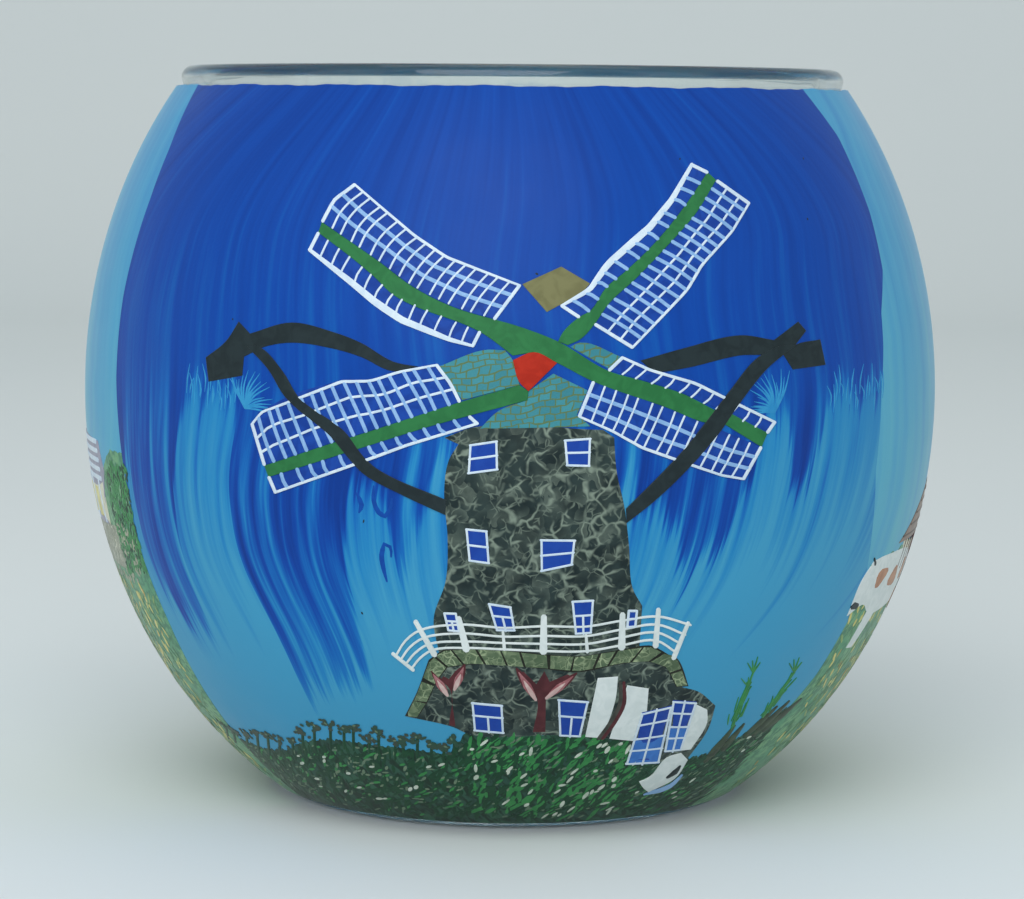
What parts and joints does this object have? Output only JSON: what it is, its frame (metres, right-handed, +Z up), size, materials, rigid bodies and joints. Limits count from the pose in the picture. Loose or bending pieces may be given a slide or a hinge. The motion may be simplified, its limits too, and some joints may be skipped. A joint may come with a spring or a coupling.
{
  "type": "tea-light globe",
  "caption": "Round glass tea-light globe with an open top, clad in an inlaid baked-clay picture of a windmill over a meadow, with its tea light.",
  "frame": {"origin": "centre of the glass foot, on the surface it stands on", "axes": "+Z up out of the mouth; the windmill faces -Y; +X is the viewer's right facing the windmill"},
  "size_m": [0.11, 0.11, 0.0932],
  "materials": {
    "clear_glass": "clear, fire-polished",
    "thin_aluminium": "bright rolled foil",
    "candle_wax": "soft waxy, stands for paraffin wax",
    "cotton_wick": "waxed cotton",
    "clay_deep_sky": "baked polymer clay, satin, streaked deep to mid blue",
    "clay_pale_sky": "baked polymer clay, satin, streaked pale blue",
    "clay_grass": "baked polymer clay, satin, dark grass with white flowers",
    "clay_meadow": "baked polymer clay, satin, meadow with yellow flowers",
    "clay_stone": "baked polymer clay, satin, veined grey stonework",
    "clay_moss_stone": "baked polymer clay, satin, mossy coping stones",
    "clay_leaf_green": "baked polymer clay, satin, green",
    "clay_lattice": "baked polymer clay, satin, white strands on blue",
    "clay_cap_brick": "baked polymer clay, satin, turquoise tiles",
    "clay_red": "baked polymer clay, satin, red",
    "clay_tan": "baked polymer clay, satin, tan",
    "clay_timber": "baked polymer clay, satin, near-black",
    "clay_white": "baked polymer clay, satin, white",
    "clay_window": "baked polymer clay, satin, blue panes in white frames",
    "clay_bark": "baked polymer clay, satin, red-brown",
    "clay_roof": "baked polymer clay, satin, brown"
  },
  "bodies": {
    "holder": {"glass_bowl": "clear_glass", "arm_left": "clay_timber", "arm_right": "clay_timber", "arm_right_weight": "clay_timber", "barn_roof": "clay_roof", "base_wall": "clay_stone", "brace_left": "clay_timber", "brace_right": "clay_timber", "cap_finial": "clay_tan", "cap_front": "clay_cap_brick", "cap_left": "clay_cap_brick", "cap_right": "clay_cap_brick", "cow": "clay_white", "gallery_deck": "clay_moss_stone", "gallery_railing": "clay_white", "goose": "clay_white", "house": "clay_white", "hub": "clay_red", "long_stock_left": "clay_leaf_green", "long_stock_right": "clay_leaf_green", "meadow_back": "clay_meadow", "meadow_front": "clay_grass", "panel_left": "clay_white", "panel_middle": "clay_white", "panel_right": "clay_white", "sail_lower_left_broad_inner": "clay_lattice", "sail_lower_left_broad_outer": "clay_lattice", "sail_lower_left_narrow_inner": "clay_lattice", "sail_lower_left_narrow_outer": "clay_lattice", "sail_lower_right_broad_inner": "clay_lattice", "sail_lower_right_broad_outer": "clay_lattice", "sail_lower_right_narrow_inner": "clay_lattice", "sail_lower_right_narrow_outer": "clay_lattice", "sail_upper_left_broad": "clay_lattice", "sail_upper_left_narrow": "clay_lattice", "sail_upper_right_broad": "clay_lattice", "sail_upper_right_narrow": "clay_lattice", "short_stock_lower_inner": "clay_leaf_green", "short_stock_lower_outer": "clay_leaf_green", "short_stock_upper": "clay_leaf_green", "sky_back": "clay_pale_sky", "sky_front": "clay_deep_sky", "tower_wall": "clay_stone", "tree_left": "clay_bark", "tree_right": "clay_bark", "window_base_left": "clay_window", "window_base_right": "clay_window", "window_big_left": "clay_window", "window_big_right": "clay_window", "window_gallery_far_left": "clay_window", "window_gallery_left": "clay_window", "window_gallery_right": "clay_window", "window_middle_left": "clay_window", "window_middle_right": "clay_window", "window_upper_left": "clay_window", "window_upper_right": "clay_window"},
    "tealight": {"candle_cup": "thin_aluminium", "candle_wax": "candle_wax", "candle_wick": "cotton_wick", "wick_sustainer": "thin_aluminium"}
  },
  "joints": [
    {"name": "tealight_lift", "type": "slide", "parent": "holder", "child": "tealight", "axis": [0, 0, 1], "range_m": [0, 0.1]}
  ]
}
